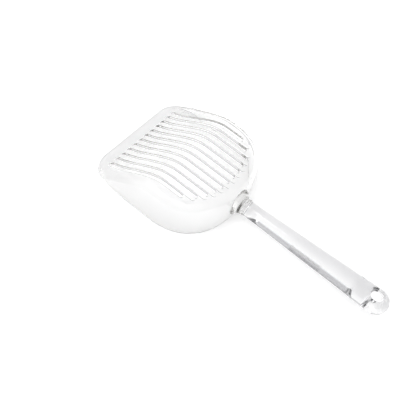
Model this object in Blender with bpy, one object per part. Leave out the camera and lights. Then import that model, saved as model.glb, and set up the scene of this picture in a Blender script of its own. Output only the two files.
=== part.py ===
"""Clear slotted ice scoop, lying rim down: a shallow bowl, a hollow handle and its end cap.

Metres, +Z up.  The origin is the centre of the bounding box's underside, +X runs from the bowl's lip
to the end of the handle, and the scoop is symmetric about the XZ plane.
"""
from math import atan2, cos, pi, radians, sin, sqrt

import bmesh
import bpy
import numpy as np

# ---------------------------------------------------------------- driving dimensions
MM = 0.001

# plan of the bowl's rim
BOWL_LENGTH = 120 * MM          # from the lip to the back of the rim
BOWL_HALF_WIDTH = 60.5 * MM
LIP_CORNER_RADIUS = 23 * MM
BACK_START = 68.5 * MM          # where the straight sides turn into the rounded back
BACK_ROUNDNESS = 2.34           # 2 is an ellipse, more is squarer

# shell
WALL = 2.5 * MM
FLOOR_HEIGHT = 32.3 * MM        # top of the floor above the rim plane
RISE_START = 3 * MM             # the floor leaves the lip here
RISE_END = 69 * MM              # and is level from here on
EDGE_ROUNDNESS = 2.6            # section of the turn from wall to floor, 2 is an ellipse
OUTER_TURN = 0.36               # width of that turn, over the local height
INNER_TURN = 0.32
THINNEST_TURN = 0.8 * MM
LIP_BORDER = 6 * MM             # plain border between the outline and the slotted field
SIDE_BORDER = 12 * MM
FIELD_CORNER = 3 * MM           # how far the field's outer stations keep inside the straight sides

# slots through the floor
SLOT_COUNT = 12
SLOT_PITCH = 7.75 * MM
SLOT_WIDTH = 4.0 * MM
SLOT_FRONT = 10.2 * MM
SLOT_BACK = 105.5 * MM          # back end of the middle slots
SLOT_BACK_HALF_WIDTH = 46.6 * MM  # the slots' back ends lie on a curve this wide
BAR_CROWN = 0.8 * MM            # the bars between the slots are crowned on the outside

# handle
HANDLE_AXIS_HEIGHT = 13.6 * MM  # of the axis where it meets the back of the rim
HANDLE_SLOPE = radians(1.74)
HANDLE_NECK_RADIUS = 6.8 * MM
HANDLE_END_RADIUS = 10.8 * MM
HANDLE_LENGTH = 138 * MM        # from the back of the rim to the centre of the round end
TUBE_START = 8.3 * MM
TUBE_END = 124 * MM
CORE_START = 11.3 * MM
CORE_NECK_RADIUS = 3.4 * MM     # hollow core of the handle
CORE_END_RADIUS = 7.4 * MM

# flattened side of the handle, facing the rim plane; the handle is round again at both ends
FLAT_LEVEL = 0.68               # depth of the flat below the axis, over the radius
FLAT_ARC = 2.2                  # its own gentle arc, over the radius
FLAT_START = 9 * MM
FLAT_FADE = 14 * MM
FLAT_END = 120 * MM
FLAT_END_FADE = 6 * MM

# socket, spigots and gaps
GAP = 0.3 * MM
COLLAR_ROOT_RADIUS = 12.5 * MM
COLLAR_LENGTH = 8 * MM
COLLAR_END_RADIUS = 7.6 * MM
COLLAR_STEP = 0.3 * MM
SOCKET_RADIUS = 4.8 * MM
SOCKET_FLOOR = 1.2 * MM
SPIGOT_BORE = 2.4 * MM
CAP_SPIGOT_LENGTH = 4 * MM

# grip ridges across the flattened side
RIDGE_COUNT = 12
RIDGE_PITCH = 2.6 * MM
RIDGE_START = 56 * MM
RIDGE_HEIGHT = 0.35 * MM
RIDGE_HALF_ANGLE = radians(75)
RIDGE_FADE_ANGLE = radians(30)

# hanging hole through the round end
HOLE_RADIUS = 5.5 * MM
HOLE_PLACE = 136 * MM
CUTTER_MARGIN = 2 * MM

# facets
SHARP_ANGLE = radians(35)
SLOT_PARTS = (-1, -0.6, 0.6, 1)  # lines along each slot, over its half width; its ends are rounded
EDGE_LINES = 4
TURN_STEPS = 5
BORDER_STEPS = 2
SLOT_STEPS = 11
FRONT_STEPS = 1
BACK_STEPS = 3
TUBE_SEGMENTS = 28
FLARE_STEPS = 5
FADE_STEPS = 3
DOME_STEPS = 6

TOTAL_LENGTH = BOWL_LENGTH + HANDLE_LENGTH * cos(HANDLE_SLOPE) + HANDLE_END_RADIUS


# ---------------------------------------------------------------- small helpers
def clear_scene():
    for obj in list(bpy.data.objects):
        bpy.data.objects.remove(obj)


def clear_plastic(name, tint):
    material = bpy.data.materials.new(name)
    material.use_nodes = True
    shader = material.node_tree.nodes["Principled BSDF"]
    shader.inputs["Base Color"].default_value = (*tint, 1.0)
    shader.inputs["Roughness"].default_value = 0.05
    shader.inputs["Metallic"].default_value = 0.0
    shader.inputs["IOR"].default_value = 1.585
    shader.inputs["Transmission Weight"].default_value = 1.0
    return material


def add_object(name, verts, faces, material, parent):
    mesh = bpy.data.meshes.new(name)
    mesh.from_pydata([tuple(v) for v in verts], [], faces)
    mesh.materials.append(material)
    mesh.shade_smooth()
    mesh.set_sharp_from_angle(angle=SHARP_ANGLE)
    obj = bpy.data.objects.new(name, mesh)
    obj.parent = parent
    bpy.context.collection.objects.link(obj)
    return obj


def add_cutter(name, verts, faces, parent):
    mesh = bpy.data.meshes.new(name)
    mesh.from_pydata([tuple(v) for v in verts], [], faces)
    obj = bpy.data.objects.new(name, mesh)
    obj.parent = parent
    obj.hide_render = True
    obj.display_type = 'WIRE'
    bpy.context.collection.objects.link(obj)
    return obj


def boolean(obj, other, operation):
    modifier = obj.modifiers.new(f"{operation.lower()} {other.name}", 'BOOLEAN')
    modifier.operation = operation
    modifier.solver = 'EXACT'
    modifier.object = other


def add_empty(name, location, parent=None):
    empty = bpy.data.objects.new(name, None)
    empty.location = location
    empty.parent = parent
    bpy.context.collection.objects.link(empty)
    return empty


def revolve(profile, segments=TUBE_SEGMENTS, shape=None):
    """Closed body turned about the X axis.

    profile is a closed loop of (x, radius) pairs, or an open one that starts and ends on the axis.
    shape(x, radius, angle), if given, returns the radius at that angle.
    """
    verts = []
    rings = []
    for x, radius in profile:
        if radius == 0:
            verts.append((x, 0.0, 0.0))
            rings.append([len(verts) - 1] * segments)
            continue
        first = len(verts)
        for i in range(segments):
            angle = 2 * pi * i / segments
            r = shape(x, radius, angle) if shape else radius
            verts.append((x, r * cos(angle), r * sin(angle)))
        rings.append(list(range(first, first + segments)))
    pairs = list(zip(rings, rings[1:]))
    if profile[0][1] > 0:
        pairs.append((rings[-1], rings[0]))
    faces = []
    for low, high in pairs:
        for i in range(segments):
            j = (i + 1) % segments
            corners = [low[i], low[j], high[j], high[i]]
            faces.append(tuple(dict.fromkeys(corners)))
    return verts, faces


# ---------------------------------------------------------------- bowl: outline and heights
def smoothstep(t):
    t = min(max(t, 0.0), 1.0)
    return t * t * (3 - 2 * t)


def floor_height(x):
    """Outer height of the floor along the bowl: a flat lip, an S-shaped rise, a level floor."""
    rise = smoothstep((x - RISE_START) / (RISE_END - RISE_START))
    return WALL + (FLOOR_HEIGHT - WALL) * rise


def turn(t):
    """Section of the wall's turn into the floor: 0 at the rim, 1 from t = 1 on."""
    t = min(max(t, 0.0), 1.0)
    return (1 - (1 - t) ** EDGE_ROUNDNESS) ** (1 / EDGE_ROUNDNESS)


def back_curve(angle):
    """Point and inward normal on the rounded back, from the +Y side (0) to the middle (90 degrees)."""
    power = 2 / BACK_ROUNDNESS
    depth = BOWL_LENGTH - BACK_START
    c = max(cos(angle), 1e-9)
    s = max(sin(angle), 1e-9)
    point = np.array([BACK_START + depth * s ** power, BOWL_HALF_WIDTH * c ** power])
    normal = np.array([s ** (2 - power) / depth, c ** (2 - power) / BOWL_HALF_WIDTH])
    return point, -normal / np.linalg.norm(normal)


def lip_curve(angle):
    """Point and inward normal on the lip's corner, from the lip (0) to the side (90 degrees)."""
    direction = np.array([-cos(angle), sin(angle)])
    centre = np.array([LIP_CORNER_RADIUS, BOWL_HALF_WIDTH - LIP_CORNER_RADIUS])
    return centre + LIP_CORNER_RADIUS * direction, -direction


def border_at_lip(angle):
    return LIP_BORDER + (SIDE_BORDER - LIP_BORDER) * angle / (pi / 2)


def place_on_curve(curve, border, y):
    """The spot on a curve whose inner border point lies at this y, found by bisection."""
    low, high = 0.0, pi / 2
    rising = curve is lip_curve
    for _ in range(50):
        middle = (low + high) / 2
        point, normal = curve(middle)
        inner_y = (point + normal * border(middle))[1]
        if (inner_y < y) == rising:
            low = middle
        else:
            high = middle
    point, normal = curve(middle)
    return point, normal, border(middle)


def mirrored(spot, sign):
    point, normal, border = spot
    return point * (1, sign), normal * (1, sign), border


def front_spot(y):
    if abs(y) <= BOWL_HALF_WIDTH - LIP_CORNER_RADIUS:
        return np.array([0.0, y]), np.array([1.0, 0.0]), LIP_BORDER
    return mirrored(place_on_curve(lip_curve, border_at_lip, abs(y)), np.sign(y))


def back_spot(y):
    return mirrored(place_on_curve(back_curve, lambda angle: SIDE_BORDER, abs(y)), np.sign(y) or 1)


def side_spot(x, sign):
    return np.array([x, sign * BOWL_HALF_WIDTH]), np.array([0.0, -sign]), SIDE_BORDER


# ---------------------------------------------------------------- bowl: slotted field
def slot_centres():
    return [(i - (SLOT_COUNT - 1) / 2) * SLOT_PITCH for i in range(SLOT_COUNT)]


def slot_back(y):
    """Back end of a slot or bar centred at y."""
    depth = SLOT_BACK - BACK_START
    reach = max(1 - (abs(y) / SLOT_BACK_HALF_WIDTH) ** BACK_ROUNDNESS, 0.0)
    return BACK_START + depth * reach ** (1 / BACK_ROUNDNESS)


def field_lines():
    """Lines of constant y across the field: (y, place of the slots' ends there, kind)."""
    half = SLOT_WIDTH / 2
    lines = []
    centres = slot_centres()
    for i, centre in enumerate(centres):
        for part in SLOT_PARTS:
            y = centre + part * half
            inset = half * (1 - sqrt(1 - part * part))
            kind = 'slot' if part < 1 else 'bar'
            lines.append((y, SLOT_FRONT + inset, slot_back(centre) - inset, kind))
        if i + 1 < SLOT_COUNT:
            y = (centre + centres[i + 1]) / 2
            inset = half
            lines.append((y, SLOT_FRONT + inset, slot_back(y) - inset, 'crown'))
    return edge_lines(lines[0], -1) + lines + edge_lines(lines[-1], 1)[::-1]


def edge_lines(nearest, sign):
    """Lines between the outermost slot and the side border, crowding towards the side."""
    side = BOWL_HALF_WIDTH - SIDE_BORDER
    starts = nearest[1], LIP_CORNER_RADIUS + FIELD_CORNER
    ends = nearest[2], BACK_START - FIELD_CORNER
    lines = []
    for i in range(EDGE_LINES, 0, -1):
        t = sin(pi / 2 * i / EDGE_LINES)
        y = abs(nearest[0]) + (side - abs(nearest[0])) * t
        start = starts[0] + (starts[1] - starts[0]) * t * t
        end = ends[0] + (ends[1] - ends[0]) * t * t
        lines.append((sign * y, start, end, 'bar'))
    return lines


def spaced(start, end, steps):
    return [start + (end - start) * i / steps for i in range(steps)]


def bowl_shell():
    """Vertices and faces of the shell: an outer and an inner skin over one grid of lines and stations."""
    lines = field_lines()
    station_count = FRONT_STEPS + SLOT_STEPS + BACK_STEPS + 1
    verts = []
    grids = []
    spots = {}
    for k, (y, slot_start, slot_end, _) in enumerate(lines):
        edge_line = k in (0, len(lines) - 1)
        if edge_line:
            ends = LIP_CORNER_RADIUS, BACK_START
        else:
            front, back = front_spot(y), back_spot(y)
            spots[k, 0] = front
            spots[k, station_count - 1] = back
            ends = [(p + n * b)[0] for p, n, b in (front, back)]
        xs = spaced(ends[0], slot_start, FRONT_STEPS)
        xs += spaced(slot_start, slot_end, SLOT_STEPS)
        xs += spaced(slot_end, ends[1], BACK_STEPS) + [ends[1]]
        if edge_line:
            for j, x in enumerate(xs):
                spots[k, j] = side_spot(x, np.sign(y))
        grids.append([(x, y) for x in xs])

    def skin(inner):
        grid = {}
        for k, row in enumerate(grids):
            crown = BAR_CROWN if lines[k][3] == 'crown' and not inner else 0.0
            for j, (x, y) in enumerate(row):
                on_bar = FRONT_STEPS <= j <= FRONT_STEPS + SLOT_STEPS
                z = floor_height(x) - (WALL if inner else 0.0) + (crown if on_bar else 0.0)
                grid[k, j] = len(verts)
                verts.append((x, y, z))
        return grid

    outer, inner = skin(False), skin(True)
    faces = []
    in_slot = range(FRONT_STEPS, FRONT_STEPS + SLOT_STEPS)
    for k in range(len(lines) - 1):
        is_slot = lines[k][3] == 'slot'
        for j in range(station_count - 1):
            if is_slot and j in in_slot:
                continue
            a, b, c, d = (k, j), (k + 1, j), (k + 1, j + 1), (k, j + 1)
            faces.append((outer[a], outer[d], outer[c], outer[b]))
            faces.append((inner[a], inner[b], inner[c], inner[d]))

    def wall(a, b):
        faces.append((outer[a], outer[b], inner[b], inner[a]))

    first, last = in_slot[0], in_slot[-1] + 1
    for k, line in enumerate(lines[:-1]):
        if line[3] != 'slot':
            continue
        wall((k + 1, first), (k, first))
        wall((k, last), (k + 1, last))
        if lines[k - 1][3] != 'slot':
            for j in in_slot:
                wall((k, j), (k, j + 1))
        if lines[k + 1][3] != 'slot':
            for j in in_slot:
                wall((k + 1, j + 1), (k + 1, j))

    # border: rings of points from the field out to the rim, on both skins
    loop = [(k, 0) for k in range(len(lines))]
    loop += [(len(lines) - 1, j) for j in range(1, station_count)]
    loop += [(k, station_count - 1) for k in range(len(lines) - 2, -1, -1)]
    loop += [(0, j) for j in range(station_count - 2, 0, -1)]

    def border(grid, inner_skin):
        rings = [[grid[key] for key in loop]]
        columns = []
        for key in loop:
            point, normal, width = spots[key]
            x, y, height = verts[grid[key]]
            offset = WALL if inner_skin else 0.0
            share = INNER_TURN if inner_skin else OUTER_TURN
            reach = max(share * height, THINNEST_TURN)
            flat = width - offset - reach
            depths = [reach + flat * i / BORDER_STEPS for i in range(BORDER_STEPS - 1, 0, -1)]
            for i in range(TURN_STEPS, -1, -1):
                angle = pi / 2 * i / TURN_STEPS
                depths.append(reach * (1 - max(cos(angle), 0.0) ** (2 / EDGE_ROUNDNESS)))
            column = []
            for depth in depths:
                px, py = point + normal * (offset + depth)
                z = (floor_height(px) - offset) * turn(depth / reach)
                column.append(len(verts))
                verts.append((px, py, z))
            columns.append(column)
        rings += [list(ring) for ring in zip(*columns)]
        count = len(loop)
        for low, high in zip(rings, rings[1:]):
            for i in range(count):
                j = (i + 1) % count
                quad = (low[i], low[j], high[j], high[i])
                faces.append(quad[::-1] if inner_skin else quad)
        return rings[-1]

    outer_rim = border(outer, False)
    inner_rim = border(inner, True)
    count = len(loop)
    for i in range(count):
        j = (i + 1) % count
        faces.append((outer_rim[i], outer_rim[j], inner_rim[j], inner_rim[i]))
    return verts, faces


# ---------------------------------------------------------------- bowl: collar
def wall_middle(y, z):
    """X of the middle of the back wall's thickness."""
    def depth(height, share, offset):
        top = FLOOR_HEIGHT - offset
        reach = share * top
        rest = 1 - min(max(height / top, 0.0), 1.0) ** EDGE_ROUNDNESS
        return offset + reach * (1 - rest ** (1 / EDGE_ROUNDNESS))
    middle = (depth(z, OUTER_TURN, 0.0) + depth(z, INNER_TURN, WALL)) / 2
    share = 1 - (abs(y) / BOWL_HALF_WIDTH) ** BACK_ROUNDNESS
    return BACK_START + (BOWL_LENGTH - BACK_START) * share ** (1 / BACK_ROUNDNESS) - middle


def collar(parent, material):
    """Flared socket on the back wall, about the handle's axis; its root disc lies inside the wall."""
    profile = [(SOCKET_FLOOR, 0.0), (SOCKET_FLOOR, SOCKET_RADIUS)]
    profile += [(COLLAR_LENGTH, SOCKET_RADIUS), (COLLAR_LENGTH, COLLAR_END_RADIUS)]
    spread = COLLAR_ROOT_RADIUS - COLLAR_END_RADIUS
    for i in range(1, FLARE_STEPS + 1):
        t = i / FLARE_STEPS
        swell = 1 - sqrt(1 - t * t)
        x = COLLAR_STEP + (COLLAR_LENGTH - COLLAR_STEP) * (1 - t)
        profile.append((x, COLLAR_END_RADIUS + spread * swell))
    root = len(profile)
    profile += [(0.0, COLLAR_ROOT_RADIUS), (0.0, COLLAR_ROOT_RADIUS / 2), (0.0, 0.0)]
    verts, faces = revolve(profile)
    # fit the root to the wall: its outer ring stands just proud, the disc lies within the thickness
    fitted = []
    for index, (x, y, z) in enumerate(verts):
        ring = 0 if index == 0 else 1 + (index - 1) // TUBE_SEGMENTS
        if ring >= root - 1:
            middle = wall_middle(y, HANDLE_AXIS_HEIGHT + z) - BOWL_LENGTH
            x = middle if ring >= root else middle + WALL / 2 + COLLAR_STEP
        fitted.append((x, y, z))
    return add_object("collar_blank", fitted, [face[::-1] for face in faces], material, parent)


# ---------------------------------------------------------------- sub-parts
def make_bowl(frame, handle_axis):
    material = clear_plastic("bowl", (0.97, 0.975, 0.98))
    verts, faces = bowl_shell()
    bowl = add_object("bowl", verts, faces, material, frame)
    blank = collar(handle_axis, material)
    blank.hide_render = True
    blank.display_type = 'WIRE'
    boolean(bowl, blank, 'UNION')
    return bowl


def handle_radius(x):
    return HANDLE_NECK_RADIUS + (HANDLE_END_RADIUS - HANDLE_NECK_RADIUS) * x / HANDLE_LENGTH


def core_radius(x):
    share = (x - TUBE_START) / (TUBE_END - TUBE_START)
    return CORE_NECK_RADIUS + (CORE_END_RADIUS - CORE_NECK_RADIUS) * share


def handle_section(x, radius, angle):
    """Radius at an angle: round above, flattened below, with the grip ridges on the outer skin."""
    centre = FLAT_ARC - FLAT_LEVEL
    arc = sqrt(FLAT_ARC ** 2 - (centre * cos(angle)) ** 2) + centre * sin(angle)
    flatness = smoothstep((x - FLAT_START) / FLAT_FADE) * smoothstep((FLAT_END - x) / FLAT_END_FADE)
    radius_here = radius * (1 - flatness * (1 - min(arc, 1.0)))
    phase = (x - RIDGE_START) / RIDGE_PITCH
    if not 0 < phase < RIDGE_COUNT or radius < handle_radius(x) - GAP:
        return radius_here
    from_bottom = abs(atan2(cos(angle), -sin(angle)))
    fade = smoothstep((RIDGE_HALF_ANGLE - from_bottom) / RIDGE_FADE_ANGLE)
    return radius_here + RIDGE_HEIGHT * fade * (0.5 - 0.5 * cos(2 * pi * phase))


def make_handle_tube(handle_axis):
    material = clear_plastic("handle", (0.95, 0.95, 0.97))
    spigot_end = SOCKET_FLOOR + 2 * GAP
    fades = [FLAT_START + FLAT_FADE * i / FADE_STEPS for i in range(FADE_STEPS + 1)]
    end_fades = [FLAT_END - FLAT_END_FADE * i / FADE_STEPS for i in range(FADE_STEPS, -1, -1)]
    ridges = [RIDGE_START + RIDGE_PITCH * i / 2 for i in range(2 * RIDGE_COUNT + 1)]
    profile = [(spigot_end, SPIGOT_BORE), (spigot_end, SOCKET_RADIUS - GAP)]
    profile += [(TUBE_START, SOCKET_RADIUS - GAP), (TUBE_START, handle_radius(TUBE_START))]
    profile += [(x, handle_radius(x)) for x in fades + ridges + end_fades]
    profile += [(TUBE_END, handle_radius(TUBE_END)), (TUBE_END, core_radius(TUBE_END))]
    core = [CORE_START] + fades[1:] + end_fades
    profile += [(x, core_radius(x)) for x in core[::-1]]
    profile.append((TUBE_START, SPIGOT_BORE))
    verts, faces = revolve(profile, shape=handle_section)
    return add_object("handle_tube", verts, faces, material, handle_axis)


def make_end_cap(handle_axis):
    material = clear_plastic("end_cap", (0.95, 0.95, 0.97))
    start = TUBE_END + GAP
    spigot = core_radius(TUBE_END - CAP_SPIGOT_LENGTH) - GAP
    spigot_end = TUBE_END - CAP_SPIGOT_LENGTH
    profile = [(spigot_end, 0.0), (spigot_end, spigot)]
    profile += [(start, spigot), (start, handle_radius(start))]
    for i in range(DOME_STEPS + 1):
        angle = pi / 2 * i / DOME_STEPS
        radius = HANDLE_END_RADIUS * cos(angle) if i < DOME_STEPS else 0.0
        profile.append((HANDLE_LENGTH + HANDLE_END_RADIUS * sin(angle), radius))
    verts, faces = revolve(profile)
    cap = add_object("end_cap", verts, faces, material, handle_axis)
    reach = HANDLE_END_RADIUS + CUTTER_MARGIN
    verts, faces = revolve([(-reach, 0.0), (-reach, HOLE_RADIUS), (reach, HOLE_RADIUS), (reach, 0.0)])
    cutter = add_cutter("hole_cutter", verts, faces, handle_axis)
    cutter.location = (HOLE_PLACE, 0, 0)
    cutter.rotation_euler = (0, pi / 2, 0)
    boolean(cap, cutter, 'DIFFERENCE')
    return cap


def build():
    clear_scene()
    frame = add_empty("scoop_frame", (-TOTAL_LENGTH / 2, 0, 0))
    handle_axis = add_empty("handle_axis", (BOWL_LENGTH, 0, HANDLE_AXIS_HEIGHT), frame)
    handle_axis.rotation_euler = (0, -HANDLE_SLOPE, 0)
    make_bowl(frame, handle_axis)
    make_handle_tube(handle_axis)
    make_end_cap(handle_axis)


build()
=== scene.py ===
"""Looks of the clear slotted ice scoop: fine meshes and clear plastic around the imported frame.

Metres, +Z up, in the frame's own axes: the scoop lies rim down, its lip at the low end of X.
"""
from math import cos, pi, radians, sin, sqrt

import bpy
import numpy as np
from mathutils import Matrix, Vector


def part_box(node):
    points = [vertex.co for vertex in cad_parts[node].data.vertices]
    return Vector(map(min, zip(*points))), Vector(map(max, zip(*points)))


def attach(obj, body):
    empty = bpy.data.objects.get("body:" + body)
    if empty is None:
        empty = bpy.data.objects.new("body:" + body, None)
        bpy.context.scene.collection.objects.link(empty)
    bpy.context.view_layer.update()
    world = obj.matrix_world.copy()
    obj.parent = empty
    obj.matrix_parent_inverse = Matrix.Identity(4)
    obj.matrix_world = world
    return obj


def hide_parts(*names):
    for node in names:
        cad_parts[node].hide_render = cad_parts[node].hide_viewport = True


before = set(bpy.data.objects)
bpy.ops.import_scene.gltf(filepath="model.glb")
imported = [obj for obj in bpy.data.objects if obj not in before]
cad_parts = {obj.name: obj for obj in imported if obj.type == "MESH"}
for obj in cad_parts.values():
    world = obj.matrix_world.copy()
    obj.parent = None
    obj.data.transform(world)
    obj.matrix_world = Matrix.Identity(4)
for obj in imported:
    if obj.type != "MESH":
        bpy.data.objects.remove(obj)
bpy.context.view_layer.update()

# ---------------------------------------------------------------- sizes
MM = 0.001

BOWL_LOW, BOWL_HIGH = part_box("bowl")
CAP_LOW, CAP_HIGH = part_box("end_cap")

BAR_CROWN = 0.8 * MM            # how far the bars stand above the floor
LIP_X = BOWL_LOW[0]
BOWL_HALF_WIDTH = BOWL_HIGH[1]
FLOOR_HEIGHT = BOWL_HIGH[2] - BAR_CROWN

# plan of the bowl's rim, x from the lip
BOWL_LENGTH = 120 * MM
LIP_CORNER_RADIUS = 23 * MM
BACK_START = 68.5 * MM
BACK_ROUNDNESS = 2.34

# shell
WALL = 2.5 * MM
RISE_START = 3 * MM
RISE_END = 69 * MM
EDGE_ROUNDNESS = 2.6
OUTER_TURN = 0.36
INNER_TURN = 0.32
THINNEST_TURN = 0.8 * MM
LIP_BORDER = 6 * MM
SIDE_BORDER = 12 * MM
BACK_BORDER = 9.6 * MM
FIELD_CORNER = 3 * MM
RIM_ROUND = 0.45 * MM
RIM_SHARE = 0.8                 # the most of the edge's height that the rounding takes
FAR_FROM_RIM = 1.0              # stands for any distance past the wall's turn

# slots and ribs
SLOT_COUNT = 12
SLOT_PITCH = 7.75 * MM
SLOT_HALF = 2.0 * MM
RIB_HALF = SLOT_PITCH / 2 - SLOT_HALF
SLOT_FRONT = 10.2 * MM
SLOT_BACK = 105.5 * MM
SLOT_BACK_HALF_WIDTH = 46.6 * MM
RIB_OVERRUN = 3.8 * MM          # how far the ribs run on past the slots' back ends
SLOT_ROUND = 0.35 * MM          # rounding of the slots' edges

# handle
HANDLE_AXIS_HEIGHT = 13.6 * MM
HANDLE_SLOPE = radians(1.74)
HANDLE_NECK_RADIUS = 6.8 * MM
HANDLE_END_RADIUS = (CAP_HIGH[1] - CAP_LOW[1]) / 2
HANDLE_LENGTH = 138 * MM
TUBE_START = 8.3 * MM
FLAT_START = 9 * MM             # the underside flattens from here
FLAT_FADE = 14 * MM
FLAT_END = 121 * MM
FLAT_END_FADE = 7 * MM
FLAT_LEVEL = 0.68               # depth of the flat below the axis, over the radius
FLAT_ARC = 2.2                  # its own gentle arc, over the radius
FLAT_POWER = 14                 # sharpness of its corners
COLLAR_ROOT_RADIUS = 12.5 * MM
COLLAR_LENGTH = 8 * MM
COLLAR_END_RADIUS = 7.6 * MM
COLLAR_STEP = 0.1 * MM
RIDGE_COUNT = 12
RIDGE_PITCH = 2.6 * MM
RIDGE_START = 56 * MM
RIDGE_HEIGHT = 0.3 * MM
RIDGE_SIDE = 0.05               # where the ridges begin: 0 at the handle's side, 1 straight below
RIDGE_FADE = 0.5                # how much further round they reach their full height
EDGE_ROUND = 0.3 * MM           # rounding of the collar's and the handle's edges
HOLE_RADIUS = 5.3 * MM          # at its waist
HOLE_PLACE = 136 * MM
HOLE_FLARE = 1.6 * MM           # how much wider it is one end radius from its waist
FIRST_STATION = 2 * MM          # from the handle's start, past its rounded edge
CUTTER_MARGIN = 2 * MM

# mesh steps
EDGE_LINES = 12
ARC_STEPS = 12                  # across a slot or a rib
LIP_STEPS = 8
SLOT_STEPS = 64
OVERRUN_STEPS = 14
BACK_STEPS = 6
BORDER_STEPS = 34
RIM_STEPS = 5
OUTLINE_SAMPLES = 720
BORDER_SAMPLES = 400
BISECTION_STEPS = 50
TUBE_SEGMENTS = 128
CORNER_STEPS = 4
COLLAR_STEPS = 18
NECK_STEPS = 40
RIDGE_STEPS = 10
TAIL_STEPS = 50
DOME_STEPS = 28
HOLE_STEPS = 24
HOLE_SEGMENTS = 96
SHARP_ANGLE = radians(40)
TINY = 1e-9

# clear polycarbonate
PLASTIC_IOR = 1.585
BOWL_TINTS = (0.998, 0.998, 0.998), (0.992, 0.994, 0.994)
BOWL_DEPTH_COLOUR = (0.42, 0.41, 0.38)
BOWL_DEPTH_DENSITY = 14.0
HANDLE_TINTS = (0.995, 0.995, 0.995), (0.985, 0.985, 0.988)
HANDLE_DEPTH_COLOUR = (0.39, 0.39, 0.405)
HANDLE_DEPTH_DENSITY = 20.0
TINT_SCALE = 30.0
TINT_DETAIL = 2.0
TINT_SPAN = 0.35, 0.65
ROUGHNESS = 0.01
SCUFF_ROUGHNESS = 0.05          # added where a scuff runs
SCUFF_SCALE = 900.0
SCUFF_DETAIL = 4.0
SCUFF_STRETCH = (0.15, 1.0, 1.0)
SCUFF_SPAN = 0.62, 0.78
SCUFF_BUMP = 0.06
SCUFF_DEPTH = 0.01 * MM
FLOW_SCALE = 70.0
FLOW_DETAIL = 1.0
FLOW_STRETCH = (0.5, 1.0, 1.0)
FLOW_BUMP = 0.05
FLOW_DEPTH = 0.15 * MM

# floor, sky and key light
FLOOR_HALF = 3.0
FLOOR_LEVEL = -0.2 * MM
FLOOR_ROUGHNESS = 0.9
FLOOR_SPECULAR = 0.1
# painted light: the floor's colour and glow form a painted pool of light, paler round the scoop and
# fading further out
FLOOR_POOL_FADE = 0.30, 1.2          # distance over which the painted pool of light on the floor fades
FLOOR_POOL_LEVELS = 0.85, 0.40
FLOOR_PAINTED_GLOW = 0.46
SKY_STOPS = [(0.0, 0.7), (0.10, 0.8), (0.30, 0.9), (1.0, 1.0)]      # height, level
SKY_STRENGTH = 1.0
FAR_SIDE = (-0.27, 0.96, 0.0)   # the sky is a little darker this way
FAR_SIDE_SPAN = 0.2, 0.8
FAR_SIDE_LEVEL = 0.85
FLAG_DIRECTION = (-0.23, 0.41, 0.88)
FLAG_SPAN = 0.82, 0.95
FLAG_COLOUR = (0.68, 0.68, 0.70, 1.0)
KEY_PLACE = (-0.5, -0.3, 1.0)
KEY_AIM = (0, 0, 0.02)
KEY_SIZE = 0.5
KEY_POWER = 3.0

# camera
SENSOR_WIDTH = 36.0             # in millimetres, as is the lens
LENS = 63.0
CAMERA_PLACE = (0.09672, -0.34262, 0.49288)
CAMERA_AIM = (-0.0405, -0.0236, 0.015)
CAMERA_ROLL = radians(18.2)
MAX_BOUNCES = 32
CLEAR_BOUNCES = 28              # through and off clear plastic


# ---------------------------------------------------------------- bowl: outline and heights
def smoothstep(t):
    t = np.clip(t, 0.0, 1.0)
    return t * t * (3 - 2 * t)


def floor_height(x):
    """Outer height of the floor: a flat lip, an S-shaped rise, a level floor."""
    return WALL + (FLOOR_HEIGHT - WALL) * smoothstep((x - RISE_START) / (RISE_END - RISE_START))


def turn(t):
    """Section of the wall's turn into the floor: 0 at the rim, 1 from t = 1 on."""
    t = np.clip(t, 0.0, 1.0)
    return (1 - (1 - t) ** EDGE_ROUNDNESS) ** (1 / EDGE_ROUNDNESS)


def back_curve(angle):
    """Point and inward normal on the rounded back, from the +Y side (0) to the middle (90 degrees)."""
    power = 2 / BACK_ROUNDNESS
    depth = BOWL_LENGTH - BACK_START
    c = max(cos(angle), TINY)
    s = max(sin(angle), TINY)
    point = np.array([BACK_START + depth * s ** power, BOWL_HALF_WIDTH * c ** power])
    normal = np.array([s ** (2 - power) / depth, c ** (2 - power) / BOWL_HALF_WIDTH])
    return point, -normal / np.linalg.norm(normal)


def lip_curve(angle):
    """Point and inward normal on the lip's corner, from the lip (0) to the side (90 degrees)."""
    direction = np.array([-cos(angle), sin(angle)])
    centre = np.array([LIP_CORNER_RADIUS, BOWL_HALF_WIDTH - LIP_CORNER_RADIUS])
    return centre + LIP_CORNER_RADIUS * direction, -direction


def border_at_lip(angle):
    return LIP_BORDER + (SIDE_BORDER - LIP_BORDER) * angle / (pi / 2)


def border_at_back(angle):
    return SIDE_BORDER + (BACK_BORDER - SIDE_BORDER) * float(smoothstep(angle / (pi / 2)))


def place_on_curve(curve, border, y):
    """The spot on a curve whose inner border point lies at this y, found by bisection."""
    low, high = 0.0, pi / 2
    rising = curve is lip_curve
    for _ in range(BISECTION_STEPS):
        middle = (low + high) / 2
        point, normal = curve(middle)
        inner_y = (point + normal * border(middle))[1]
        if (inner_y < y) == rising:
            low = middle
        else:
            high = middle
    return point, normal, border(middle)


def mirrored(spot, sign):
    point, normal, border = spot
    return point * (1, sign), normal * (1, sign), border


def front_spot(y):
    if abs(y) <= BOWL_HALF_WIDTH - LIP_CORNER_RADIUS:
        return np.array([0.0, y]), np.array([1.0, 0.0]), LIP_BORDER
    return mirrored(place_on_curve(lip_curve, border_at_lip, abs(y)), np.sign(y))


def back_spot(y):
    return mirrored(place_on_curve(back_curve, border_at_back, abs(y)), np.sign(y) or 1)


def side_spot(x, sign):
    return np.array([x, sign * BOWL_HALF_WIDTH]), np.array([0.0, -sign]), SIDE_BORDER


# ---------------------------------------------------------------- bowl: slots and ribs
SLOTS = [(i - (SLOT_COUNT - 1) / 2) * SLOT_PITCH for i in range(SLOT_COUNT)]
RIBS = [y + SLOT_PITCH / 2 for y in SLOTS[:-1]]


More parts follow.
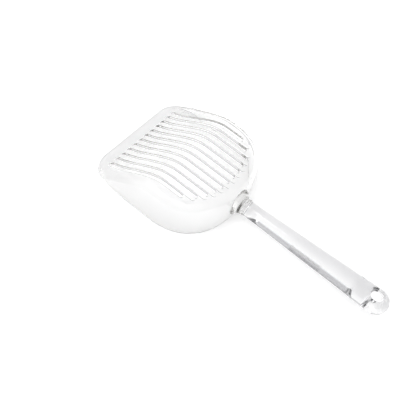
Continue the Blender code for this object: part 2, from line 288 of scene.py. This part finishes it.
def slot_back(y):
    """Back end of a slot centred at y."""
    reach = max(1 - (abs(y) / SLOT_BACK_HALF_WIDTH) ** BACK_ROUNDNESS, 0.0)
    return BACK_START + (SLOT_BACK - BACK_START) * reach ** (1 / BACK_ROUNDNESS)


def rib_back(y):
    """Centre of the round back end of a rib centred at y."""
    return slot_back(y) + RIB_OVERRUN - RIB_HALF


def capsule_distance(x, y, centre, start, end, radius):
    """Distance outside a round-ended strip along X."""
    beyond = np.maximum(np.maximum(start - x, x - end), 0.0)
    return np.hypot(beyond, y - centre) - radius


def slot_gap(x, y):
    """Distance to the nearest slot's outline."""
    gaps = []
    for centre in SLOTS:
        end = slot_back(centre) - SLOT_HALF
        gaps.append(capsule_distance(x, y, centre, SLOT_FRONT + SLOT_HALF, end, SLOT_HALF))
    return np.maximum(np.min(gaps, axis=0), 0.0)


def rib_height(x, y):
    height = np.zeros_like(x)
    for c in RIBS:
        outside = capsule_distance(x, y, c, SLOT_FRONT + SLOT_HALF, rib_back(c), RIB_HALF)
        section = np.clip(-outside / RIB_HALF, 0.0, 1.0)
        height += BAR_CROWN * np.sqrt(1 - (1 - section) ** 2)
    return height


def edge_drop(gap):
    """How far a slot's rounded edge has dropped at this distance from its outline."""
    rest = np.clip(1 - gap / SLOT_ROUND, 0.0, 1.0)
    return SLOT_ROUND * (1 - np.sqrt(1 - rest ** 2))


def field_lines():
    """Lines of constant y across the field: (y, slot start, slot end, rib end, opens a slot cell)."""
    lines = []
    arcs = [-pi / 2 + pi * i / ARC_STEPS for i in range(ARC_STEPS + 1)]
    for i, centre in enumerate(SLOTS):
        ends = [rib_back(RIBS[max(i - 1, 0)]), rib_back(RIBS[min(i, len(RIBS) - 1)])]
        for a in arcs:
            share = (1 + sin(a)) / 2
            inset = SLOT_HALF * (1 - cos(a))
            rib_end = ends[0] + (ends[1] - ends[0]) * share
            y = centre + SLOT_HALF * sin(a)
            lines.append((y, SLOT_FRONT + inset, slot_back(centre) - inset, rib_end, a < arcs[-1]))
        if i + 1 < SLOT_COUNT:
            middle = RIBS[i]
            ends = [slot_back(centre) - SLOT_HALF, slot_back(SLOTS[i + 1]) - SLOT_HALF]
            for a in arcs[1:-1]:
                share = (1 + sin(a)) / 2
                bulge = RIB_HALF * cos(a)
                slot_end = ends[0] + (ends[1] - ends[0]) * share
                y = middle + RIB_HALF * sin(a)
                start = SLOT_FRONT + SLOT_HALF - bulge
                lines.append((y, start, slot_end, rib_back(middle) + bulge, False))
    return edge_lines(lines[0], -1) + lines + edge_lines(lines[-1], 1)[::-1]


def edge_lines(nearest, sign):
    """Lines between the outermost slot and the side border, crowding towards the side."""
    side = BOWL_HALF_WIDTH - SIDE_BORDER
    starts = nearest[1], LIP_CORNER_RADIUS + FIELD_CORNER
    ends = nearest[2], BACK_START - 2 * FIELD_CORNER
    rib_ends = nearest[3], BACK_START - FIELD_CORNER
    lines = []
    for i in range(EDGE_LINES, 0, -1):
        t = i / EDGE_LINES
        y = abs(nearest[0]) + (side - abs(nearest[0])) * t
        keys = [a + (b - a) * t * t for a, b in (starts, ends, rib_ends)]
        lines.append((sign * y, *keys, False))
    return lines


def crowded(start, end, steps, at_start, at_end):
    """Stations from start up to, not including, end, crowding towards either end."""
    shares = np.arange(steps) / steps
    if at_start and at_end:
        shares = (1 - np.cos(pi * shares)) / 2
    elif at_start:
        shares = 1 - np.cos(pi / 2 * shares)
    elif at_end:
        shares = np.sin(pi / 2 * shares)
    return list(start + (end - start) * shares)


def slot_stations(start, end):
    """Stations along a slot: fine over its round ends, even between them."""
    cap = SLOT_HALF
    ends = crowded(0, cap, ARC_STEPS // 2, True, False)
    middle = np.linspace(start + cap, end - cap, SLOT_STEPS + 1)
    return [start + e for e in ends] + list(middle) + [end - e for e in ends[:0:-1]]


# ---------------------------------------------------------------- bowl: mesh
def outline_points():
    """The rim's outline as a dense row of points."""
    quarter = [pi / 2 * i / OUTLINE_SAMPLES for i in range(OUTLINE_SAMPLES + 1)]
    half = [back_curve(a)[0] for a in quarter[::-1]] + [lip_curve(a)[0] for a in quarter[::-1]]
    half = np.array(half)
    return np.vstack([half, half * (1, -1)])


def rim_distance(x, y):
    """Distance from points near the back of the field to the rim's outline."""
    outline = outline_points()
    distance = np.full(x.shape, np.inf)
    for px, py in outline:
        np.minimum(distance, np.hypot(x - px, y - py), out=distance)
    return distance


class Shell:
    """Vertices and faces of the bowl while it is put together."""

    def __init__(self):
        self.verts = []
        self.faces = []

    def add(self, points):
        first = len(self.verts)
        self.verts.extend(tuple(p) for p in points)
        return np.arange(first, len(self.verts))

    def strip(self, low, high, closed=True):
        count = len(low)
        for i in range(count if closed else count - 1):
            j = (i + 1) % count
            self.faces.append((low[i], low[j], high[j], high[i]))


def field_grid(lines):
    """X and Y of every grid point of the field, and the spots on the outline its edge belongs to."""
    rows = []
    spots = {}
    last = len(lines) - 1
    for k, (y, slot_start, slot_end, rib_end, _) in enumerate(lines):
        if k in (0, last):
            ends = LIP_CORNER_RADIUS, BACK_START
        else:
            front, back = front_spot(y), back_spot(y)
            ends = [(p + n * b)[0] for p, n, b in (front, back)]
            spots[k, 0] = front
        row = crowded(ends[0], slot_start, LIP_STEPS, False, True)
        row += slot_stations(slot_start, slot_end)
        row += crowded(slot_end, rib_end, OVERRUN_STEPS, True, True)
        row += crowded(rib_end, ends[1], BACK_STEPS, True, False) + [ends[1]]
        if k in (0, last):
            for j, x in enumerate(row):
                spots[k, j] = side_spot(x, np.sign(y))
        else:
            spots[k, len(row) - 1] = back
        rows.append(row)
    x = np.array(rows)
    y = np.repeat(np.array([line[0] for line in lines])[:, None], x.shape[1], axis=1)
    return x, y, spots


def border_depths(reach, width, height):
    """Depths of the border's rings, evenly spread along its section, from the field out to the rim."""
    depth = width * (1 - np.cos(np.linspace(0, pi / 2, BORDER_SAMPLES))) ** 2
    z = height * turn(depth / reach)
    length = np.concatenate([[0.0], np.cumsum(np.hypot(np.diff(depth), np.diff(z)))])
    shares = np.linspace(length[-1], 0.0, BORDER_STEPS + 1)[1:]
    return np.interp(shares, length, depth)


def bowl_mesh():
    """Vertices and faces of the shell, without the collar."""
    lines = field_lines()
    x, y, spots = field_grid(lines)
    count_k, count_j = x.shape
    first = LIP_STEPS
    last = first + len(slot_stations(0.0, 1.0))
    shell = Shell()

    near_back = x > BACK_START
    depth = np.full(x.shape, FAR_FROM_RIM)
    depth[near_back] = rim_distance(x[near_back], y[near_back])
    grids = []
    for offset, share in ((0.0, OUTER_TURN), (WALL, INNER_TURN)):
        reach = share * (FLOOR_HEIGHT - offset)
        z = (floor_height(x) - offset) * turn((depth - offset) / reach)
        if offset:
            z += edge_drop(slot_gap(x, y))
        else:
            z += rib_height(x, y) - edge_drop(slot_gap(x, y))
        points = np.stack([x, y, z], axis=-1).reshape(-1, 3)
        grids.append(shell.add(points).reshape(count_k, count_j))
    outer, inner = grids

    for k in range(count_k - 1):
        for j in range(count_j - 1):
            if lines[k][4] and first <= j < last:
                continue
            a, b, c, d = (k, j), (k + 1, j), (k + 1, j + 1), (k, j + 1)
            shell.faces.append((outer[a], outer[d], outer[c], outer[b]))
            shell.faces.append((inner[a], inner[b], inner[c], inner[d]))

    # slot walls
    opening = [k for k, line in enumerate(lines) if line[4]]
    for run in (opening[i:i + ARC_STEPS] for i in range(0, len(opening), ARC_STEPS)):
        near, far = run[0], run[-1] + 1
        path = [(near, j) for j in range(first, last)] + [(k, last) for k in range(near, far)]
        path += [(far, j) for j in range(last, first, -1)] + [(k, first) for k in range(far, near, -1)]
        shell.strip([outer[p] for p in path], [inner[p] for p in path])

    # border
    loop = [(k, 0) for k in range(count_k)]
    loop += [(count_k - 1, j) for j in range(1, count_j)]
    loop += [(k, count_j - 1) for k in range(count_k - 2, -1, -1)]
    loop += [(0, j) for j in range(count_j - 2, 0, -1)]
    rims = []
    for grid, offset, share in ((outer, 0.0, OUTER_TURN), (inner, WALL, INNER_TURN)):
        columns = []
        for key in loop:
            point, normal, width = spots[key]
            height = float(floor_height(x[key])) - offset
            reach = max(share * height, THINNEST_TURN)
            depths = border_depths(reach, width - offset, height)
            places = point + normal * (offset + depths)[:, None]
            z = (floor_height(places[:, 0]) - offset) * turn(depths / reach)
            if not offset:
                z += rib_height(places[:, 0], places[:, 1])
            columns.append(np.column_stack([places, z]))
        columns = np.array(columns)
        ring = np.array([grid[key] for key in loop])
        for i in range(BORDER_STEPS - 1):
            following = shell.add(columns[:, i])
            if offset:
                shell.strip(following, ring)
            else:
                shell.strip(ring, following)
            ring = following
        rims.append((ring, columns[:, BORDER_STEPS - 2]))
    rim_strip(shell, loop, spots, rims)
    return shell


def rim_strip(shell, loop, spots, rims):
    """The rounded foot of the wall between the two skins."""
    (outer_ring, outer_ends), (inner_ring, inner_ends) = rims
    arcs = [pi / 2 * i / RIM_STEPS for i in range(RIM_STEPS + 1)]
    columns = []
    for key, start, end in zip(loop, outer_ends, inner_ends):
        point, normal, _ = spots[key]
        column = []
        for corner, z, way in ((0.0, start[2], 1), (WALL, end[2], -1)):
            height = min(RIM_ROUND, RIM_SHARE * z)
            rounded = [(corner + way * RIM_ROUND * (1 - cos(a)), height * (1 - sin(a))) for a in arcs]
            column += rounded[::way]
        columns.append([(*(point + normal * depth), z) for depth, z in column])
    columns = np.array(columns)
    ring = outer_ring
    for i in range(columns.shape[1]):
        following = shell.add(columns[:, i])
        shell.strip(ring, following)
        ring = following
    shell.strip(ring, inner_ring)


# ---------------------------------------------------------------- turned pieces
def revolve(profile, shape=None, segments=TUBE_SEGMENTS):
    """Closed body turned about the X axis from (x, radius) pairs.

    An open profile starts and ends on the axis.  shape(x, radius, angle) returns the radius there.
    """
    verts = []
    rings = []
    for x, radius in profile:
        if radius == 0:
            verts.append((x, 0.0, 0.0))
            rings.append([len(verts) - 1] * segments)
            continue
        first = len(verts)
        for i in range(segments):
            angle = 2 * pi * i / segments
            r = shape(x, radius, angle) if shape else radius
            verts.append((x, r * cos(angle), r * sin(angle)))
        rings.append(list(range(first, first + segments)))
    pairs = list(zip(rings, rings[1:]))
    if profile[0][1] > 0:
        pairs.append((rings[-1], rings[0]))
    faces = []
    for low, high in pairs:
        for i in range(segments):
            j = (i + 1) % segments
            faces.append(tuple(dict.fromkeys((low[i], low[j], high[j], high[i]))))
    return verts, faces


def rounded_corner(x, radius, dx, dr):
    """Points of a rounded corner of a profile; dx and dr say to which side the solid lies."""
    points = []
    for i in range(CORNER_STEPS + 1):
        a = pi / 2 * i / CORNER_STEPS
        points.append((x + dx * EDGE_ROUND * (1 - cos(a)), radius + dr * EDGE_ROUND * (1 - sin(a))))
    return points


HANDLE_MATRIX = (Matrix.Translation((LIP_X + BOWL_LENGTH, 0, HANDLE_AXIS_HEIGHT))
                 @ Matrix.Rotation(-HANDLE_SLOPE, 4, 'Y'))
BOWL_MATRIX = Matrix.Translation((LIP_X, 0, 0))


def add_piece(name, verts, faces, matrix, material=None):
    mesh = bpy.data.meshes.new(name)
    mesh.from_pydata([tuple(v) for v in verts], [], [tuple(int(i) for i in face) for face in faces])
    mesh.transform(matrix)
    mesh.validate()
    mesh.shade_smooth()
    mesh.set_sharp_from_angle(angle=SHARP_ANGLE)
    if material:
        mesh.materials.append(material)
    obj = bpy.data.objects.new(name, mesh)
    bpy.context.collection.objects.link(obj)
    return obj


def apply_boolean(obj, other, operation):
    """Runs an exact Boolean, applies it, and removes the other body."""
    modifier = obj.modifiers.new(operation.lower(), 'BOOLEAN')
    modifier.operation = operation
    modifier.solver = 'EXACT'
    modifier.object = other
    evaluated = obj.evaluated_get(bpy.context.evaluated_depsgraph_get())
    mesh = bpy.data.meshes.new_from_object(evaluated)
    obj.modifiers.clear()
    obj.data = mesh
    mesh.shade_smooth()
    mesh.set_sharp_from_angle(angle=SHARP_ANGLE)
    bpy.data.objects.remove(other)


def wall_middle(y, z):
    """X of the middle of the back wall's thickness, from the lip."""
    def depth(height, share, offset):
        top = FLOOR_HEIGHT - offset
        rest = 1 - min(max(height / top, 0.0), 1.0) ** EDGE_ROUNDNESS
        return offset + share * top * (1 - rest ** (1 / EDGE_ROUNDNESS))
    middle = (depth(z, OUTER_TURN, 0.0) + depth(z, INNER_TURN, WALL)) / 2
    share = 1 - (abs(y) / BOWL_HALF_WIDTH) ** BACK_ROUNDNESS
    return BACK_START + (BOWL_LENGTH - BACK_START) * share ** (1 / BACK_ROUNDNESS) - middle


def collar_body():
    """Flared root of the handle on the back wall; its root disc lies inside the wall."""
    profile = [(COLLAR_LENGTH, 0.0), (COLLAR_LENGTH, COLLAR_END_RADIUS / 2)]
    profile += rounded_corner(COLLAR_LENGTH, COLLAR_END_RADIUS, -1, -1)
    spread = COLLAR_ROOT_RADIUS - COLLAR_END_RADIUS
    reach = COLLAR_LENGTH - COLLAR_STEP - 2 * EDGE_ROUND
    for i in range(1, COLLAR_STEPS + 1):
        t = i / COLLAR_STEPS
        radius = COLLAR_END_RADIUS + spread * (1 - sqrt(1 - t * t))
        profile.append((COLLAR_STEP + reach * (1 - t), radius))
    root = len(profile)
    profile += [(0.0, COLLAR_ROOT_RADIUS), (0.0, COLLAR_ROOT_RADIUS / 2), (0.0, 0.0)]
    verts, faces = revolve(profile)
    fitted = []
    for index, (x, y, z) in enumerate(verts):
        ring = 0 if index == 0 else 1 + (index - 1) // TUBE_SEGMENTS
        if ring >= root - 1:
            middle = wall_middle(y, HANDLE_AXIS_HEIGHT + z) - BOWL_LENGTH
            x = middle if ring >= root else middle + WALL / 2 + COLLAR_STEP
        fitted.append((x, y, z))
    return fitted, [face[::-1] for face in faces]


def handle_radius(x):
    return HANDLE_NECK_RADIUS + (HANDLE_END_RADIUS - HANDLE_NECK_RADIUS) * x / HANDLE_LENGTH


def section(x, radius, angle):
    """Radius at an angle: round above, flattened and ridged on the side that faces the rim plane."""
    below = -sin(angle)
    if below <= 0:
        return radius
    starting = smoothstep((x - FLAT_START) / FLAT_FADE)
    ending = smoothstep((FLAT_END - x) / FLAT_END_FADE)
    flatness = float(starting * ending)
    # a wide shallow arc, joined to the round section by a high-power mean that softens the corners
    centre = FLAT_ARC - FLAT_LEVEL
    arc = sqrt(FLAT_ARC ** 2 - (centre * cos(angle)) ** 2) - centre * below
    flat = (1 + (1 / arc) ** FLAT_POWER) ** (-1 / FLAT_POWER)
    phase = (x - RIDGE_START) / RIDGE_PITCH
    ridge = 0.0
    if 0 < phase < RIDGE_COUNT:
        fade = float(smoothstep((below - RIDGE_SIDE) / RIDGE_FADE))
        ridge = RIDGE_HEIGHT * fade * (0.5 - 0.5 * cos(2 * pi * phase))
    return radius * (1 - flatness * (1 - flat)) + ridge


def handle_profile():
    """Along the axis at the neck, out to the rounded edge, and along the handle to its round end."""
    start_radius = handle_radius(TUBE_START)
    profile = [(TUBE_START, 0.0), (TUBE_START, start_radius / 2)]
    profile += rounded_corner(TUBE_START, start_radius, 1, -1)
    ridge_end = RIDGE_START + RIDGE_COUNT * RIDGE_PITCH
    places = list(np.linspace(TUBE_START + FIRST_STATION, RIDGE_START, NECK_STEPS, endpoint=False))
    places += list(np.linspace(RIDGE_START, ridge_end, RIDGE_COUNT * RIDGE_STEPS, endpoint=False))
    places += list(np.linspace(ridge_end, HANDLE_LENGTH, TAIL_STEPS, endpoint=False))
    profile += [(x, handle_radius(x)) for x in places]
    for i in range(DOME_STEPS + 1):
        a = pi / 2 * i / DOME_STEPS
        radius = HANDLE_END_RADIUS * cos(a) if i < DOME_STEPS else 0.0
        profile.append((HANDLE_LENGTH + HANDLE_END_RADIUS * sin(a), radius))
    return profile


def hole_cutter():
    """A waisted bore, turned about X; it is stood upright afterwards."""
    reach = handle_radius(HOLE_PLACE) + CUTTER_MARGIN
    profile = [(-reach, 0.0)]
    for i in range(-HOLE_STEPS, HOLE_STEPS + 1):
        x = reach * i / HOLE_STEPS
        profile.append((x, HOLE_RADIUS + HOLE_FLARE * (x / HANDLE_END_RADIUS) ** 2))
    profile.append((reach, 0.0))
    return revolve(profile, segments=HOLE_SEGMENTS)


# ---------------------------------------------------------------- materials
def map_range(tree, value, span, levels, smooth=False):
    """Moves a value from one span to another; smooth eases both ends."""
    node = tree.nodes.new("ShaderNodeMapRange")
    if smooth:
        node.interpolation_type = 'SMOOTHSTEP'
    node.inputs["From Min"].default_value = span[0]
    node.inputs["From Max"].default_value = span[1]
    node.inputs["To Min"].default_value = levels[0]
    node.inputs["To Max"].default_value = levels[1]
    tree.links.new(value, node.inputs["Value"])
    return node.outputs["Result"]


def clear_plastic(name, tints, depth_colour, depth_density):
    """Moulded clear polycarbonate: faint flow waves, fine scuffs and a breath of colour."""
    material = bpy.data.materials.new(name)
    material.use_nodes = True
    tree = material.node_tree
    nodes = tree.nodes
    links = tree.links
    shader = nodes["Principled BSDF"]
    shader.inputs["IOR"].default_value = PLASTIC_IOR
    shader.inputs["Transmission Weight"].default_value = 1.0
    shader.inputs["Metallic"].default_value = 0.0

    # the resin itself takes a little light, so the thick parts look deeper
    depth = nodes.new("ShaderNodeVolumeAbsorption")
    depth.inputs["Color"].default_value = (*depth_colour, 1.0)
    depth.inputs["Density"].default_value = depth_density
    links.new(depth.outputs["Volume"], nodes["Material Output"].inputs["Volume"])

    coords = nodes.new("ShaderNodeTexCoord")

    def noise(scale, detail, stretch=(1, 1, 1)):
        mapping = nodes.new("ShaderNodeMapping")
        mapping.inputs["Scale"].default_value = stretch
        links.new(coords.outputs["Object"], mapping.inputs["Vector"])
        texture = nodes.new("ShaderNodeTexNoise")
        texture.inputs["Scale"].default_value = scale
        texture.inputs["Detail"].default_value = detail
        links.new(mapping.outputs["Vector"], texture.inputs["Vector"])
        return texture.outputs["Fac"]

    def bump(strength, distance, height):
        node = nodes.new("ShaderNodeBump")
        node.inputs["Strength"].default_value = strength
        node.inputs["Distance"].default_value = distance
        links.new(height, node.inputs["Height"])
        return node

    # a breath of colour that comes and goes over the piece
    tint = nodes.new("ShaderNodeValToRGB")
    for element, position, colour in zip(tint.color_ramp.elements, TINT_SPAN, tints):
        element.position = position
        element.color = (*colour, 1.0)
    links.new(noise(TINT_SCALE, TINT_DETAIL), tint.inputs["Fac"])
    links.new(tint.outputs["Color"], shader.inputs["Base Color"])

    # fine scuffs: mostly clean, hazier in thin streaks
    scuffs = noise(SCUFF_SCALE, SCUFF_DETAIL, SCUFF_STRETCH)
    streaks = map_range(tree, scuffs, SCUFF_SPAN, (0.0, 1.0))
    rough = map_range(tree, streaks, (0.0, 1.0), (ROUGHNESS, ROUGHNESS + SCUFF_ROUGHNESS))
    links.new(rough, shader.inputs["Roughness"])

    # flow waves of the moulding and a trace of the scuffs
    broad = bump(FLOW_BUMP, FLOW_DEPTH, noise(FLOW_SCALE, FLOW_DETAIL, FLOW_STRETCH))
    fine = bump(SCUFF_BUMP, SCUFF_DEPTH, streaks)
    links.new(broad.outputs["Normal"], fine.inputs["Normal"])
    links.new(fine.outputs["Normal"], shader.inputs["Normal"])
    return material


# ---------------------------------------------------------------- pieces
def make_bowl():
    material = clear_plastic("clear_bowl", BOWL_TINTS, BOWL_DEPTH_COLOUR, BOWL_DEPTH_DENSITY)
    shell = bowl_mesh()
    bowl = add_piece("bowl_shell", shell.verts, shell.faces, BOWL_MATRIX, material)
    verts, faces = collar_body()
    collar = add_piece("collar_blank", verts, faces, HANDLE_MATRIX)
    apply_boolean(bowl, collar, 'UNION')
    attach(bowl, "root")
    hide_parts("bowl")


def make_handle():
    material = clear_plastic("clear_handle", HANDLE_TINTS, HANDLE_DEPTH_COLOUR, HANDLE_DEPTH_DENSITY)
    verts, faces = revolve(handle_profile(), section)
    handle = add_piece("handle_body", verts, faces, HANDLE_MATRIX, material)
    verts, faces = hole_cutter()
    upright = Matrix.Translation((HOLE_PLACE, 0, 0)) @ Matrix.Rotation(pi / 2, 4, 'Y')
    cutter = add_piece("hole_blank", verts, faces, HANDLE_MATRIX @ upright)
    apply_boolean(handle, cutter, 'DIFFERENCE')
    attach(handle, "root")
    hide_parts("handle_tube", "end_cap")


# ---------------------------------------------------------------- stage
def make_floor():
    """A pale floor with a painted pool of light: it glows round the scoop, and its colour and glow
    fade further out.
    """
    half = FLOOR_HALF
    corners = [(-half, -half), (half, -half), (half, half), (-half, half)]
    mesh = bpy.data.meshes.new("floor")
    mesh.from_pydata([(*corner, FLOOR_LEVEL) for corner in corners], [], [(0, 1, 2, 3)])
    material = bpy.data.materials.new("pale_floor")
    material.use_nodes = True
    tree = material.node_tree
    shader = tree.nodes["Principled BSDF"]
    shader.inputs["Roughness"].default_value = FLOOR_ROUGHNESS
    shader.inputs["Specular IOR Level"].default_value = FLOOR_SPECULAR
    coords = tree.nodes.new("ShaderNodeTexCoord")
    length = tree.nodes.new("ShaderNodeVectorMath")
    length.operation = 'LENGTH'
    tree.links.new(coords.outputs["Object"], length.inputs[0])
    # painted pool of light: base colour and glow both fade with the distance from the scoop
    painted_pool = map_range(tree, length.outputs["Value"], FLOOR_POOL_FADE, FLOOR_POOL_LEVELS, smooth=True)
    tree.links.new(painted_pool, shader.inputs["Base Color"])
    tree.links.new(painted_pool, shader.inputs["Emission Color"])
    # painted glow, so the floor stays bright where the scoop's shadow falls
    shader.inputs["Emission Strength"].default_value = FLOOR_PAINTED_GLOW
    mesh.materials.append(material)
    floor = bpy.data.objects.new("floor", mesh)
    bpy.context.collection.objects.link(floor)


def make_world():
    """Soft room light: white overhead, a little greyer towards the horizon."""
    world = bpy.data.worlds.new("studio")
    bpy.context.scene.world = world
    world.use_nodes = True
    tree = world.node_tree
    nodes = tree.nodes
    links = tree.links
    coords = nodes.new("ShaderNodeTexCoord")

    def along(direction):
        """How near each spot of the sky lies to a direction."""
        node = nodes.new("ShaderNodeVectorMath")
        node.operation = 'DOT_PRODUCT'
        node.inputs[1].default_value = direction
        links.new(coords.outputs["Generated"], node.inputs[0])
        return node.outputs["Value"]

    split = nodes.new("ShaderNodeSeparateXYZ")
    links.new(coords.outputs["Generated"], split.inputs["Vector"])
    ramp = nodes.new("ShaderNodeValToRGB")
    elements = ramp.color_ramp.elements
    while len(elements) < len(SKY_STOPS):
        elements.new(0.5)
    for element, (position, level) in zip(elements, SKY_STOPS):
        element.position = position
        element.color = (level, level, level, 1.0)
    links.new(split.outputs["Z"], ramp.inputs["Fac"])

    # darker towards the room's far side
    shade = map_range(tree, along(FAR_SIDE), FAR_SIDE_SPAN, (1.0, FAR_SIDE_LEVEL), smooth=True)
    mix = nodes.new("ShaderNodeMix")
    mix.data_type = 'RGBA'
    mix.blend_type = 'MULTIPLY'
    mix.inputs["Factor"].default_value = 1.0
    links.new(ramp.outputs["Color"], mix.inputs["A"])
    links.new(shade, mix.inputs["B"])

    # a large flag hung over the far side, which the flattened underside of the handle mirrors
    flag = map_range(tree, along(FLAG_DIRECTION), FLAG_SPAN, (0.0, 1.0), smooth=True)
    flagged = nodes.new("ShaderNodeMix")
    flagged.data_type = 'RGBA'
    flagged.inputs["B"].default_value = FLAG_COLOUR
    links.new(flag, flagged.inputs["Factor"])
    links.new(mix.outputs["Result"], flagged.inputs["A"])
    background = nodes["Background"]
    links.new(flagged.outputs["Result"], background.inputs["Color"])
    background.inputs["Strength"].default_value = SKY_STRENGTH


def make_key_light():
    data = bpy.data.lights.new("key", 'AREA')
    data.shape = 'RECTANGLE'
    data.size = KEY_SIZE
    data.size_y = KEY_SIZE
    data.energy = KEY_POWER
    light = bpy.data.objects.new("key", data)
    light.location = KEY_PLACE
    light.rotation_euler = (Vector(KEY_AIM) - Vector(KEY_PLACE)).to_track_quat('-Z', 'Y').to_euler()
    bpy.context.collection.objects.link(light)


def make_camera():
    data = bpy.data.cameras.new("camera")
    data.sensor_width = SENSOR_WIDTH
    data.lens = LENS
    camera = bpy.data.objects.new("camera", data)
    place = Vector(CAMERA_PLACE)
    facing = (Vector(CAMERA_AIM) - place).to_track_quat('-Z', 'Y').to_matrix().to_4x4()
    roll = Matrix.Rotation(CAMERA_ROLL, 4, 'Z')
    camera.matrix_world = Matrix.Translation(place) @ facing @ roll
    bpy.context.collection.objects.link(camera)
    bpy.context.scene.camera = camera


make_camera()
make_bowl()
make_handle()
make_floor()
make_world()
make_key_light()

scene = bpy.context.scene
scene.view_settings.view_transform = 'Standard'
scene.cycles.max_bounces = MAX_BOUNCES
scene.cycles.transmission_bounces = CLEAR_BOUNCES
scene.cycles.glossy_bounces = CLEAR_BOUNCES
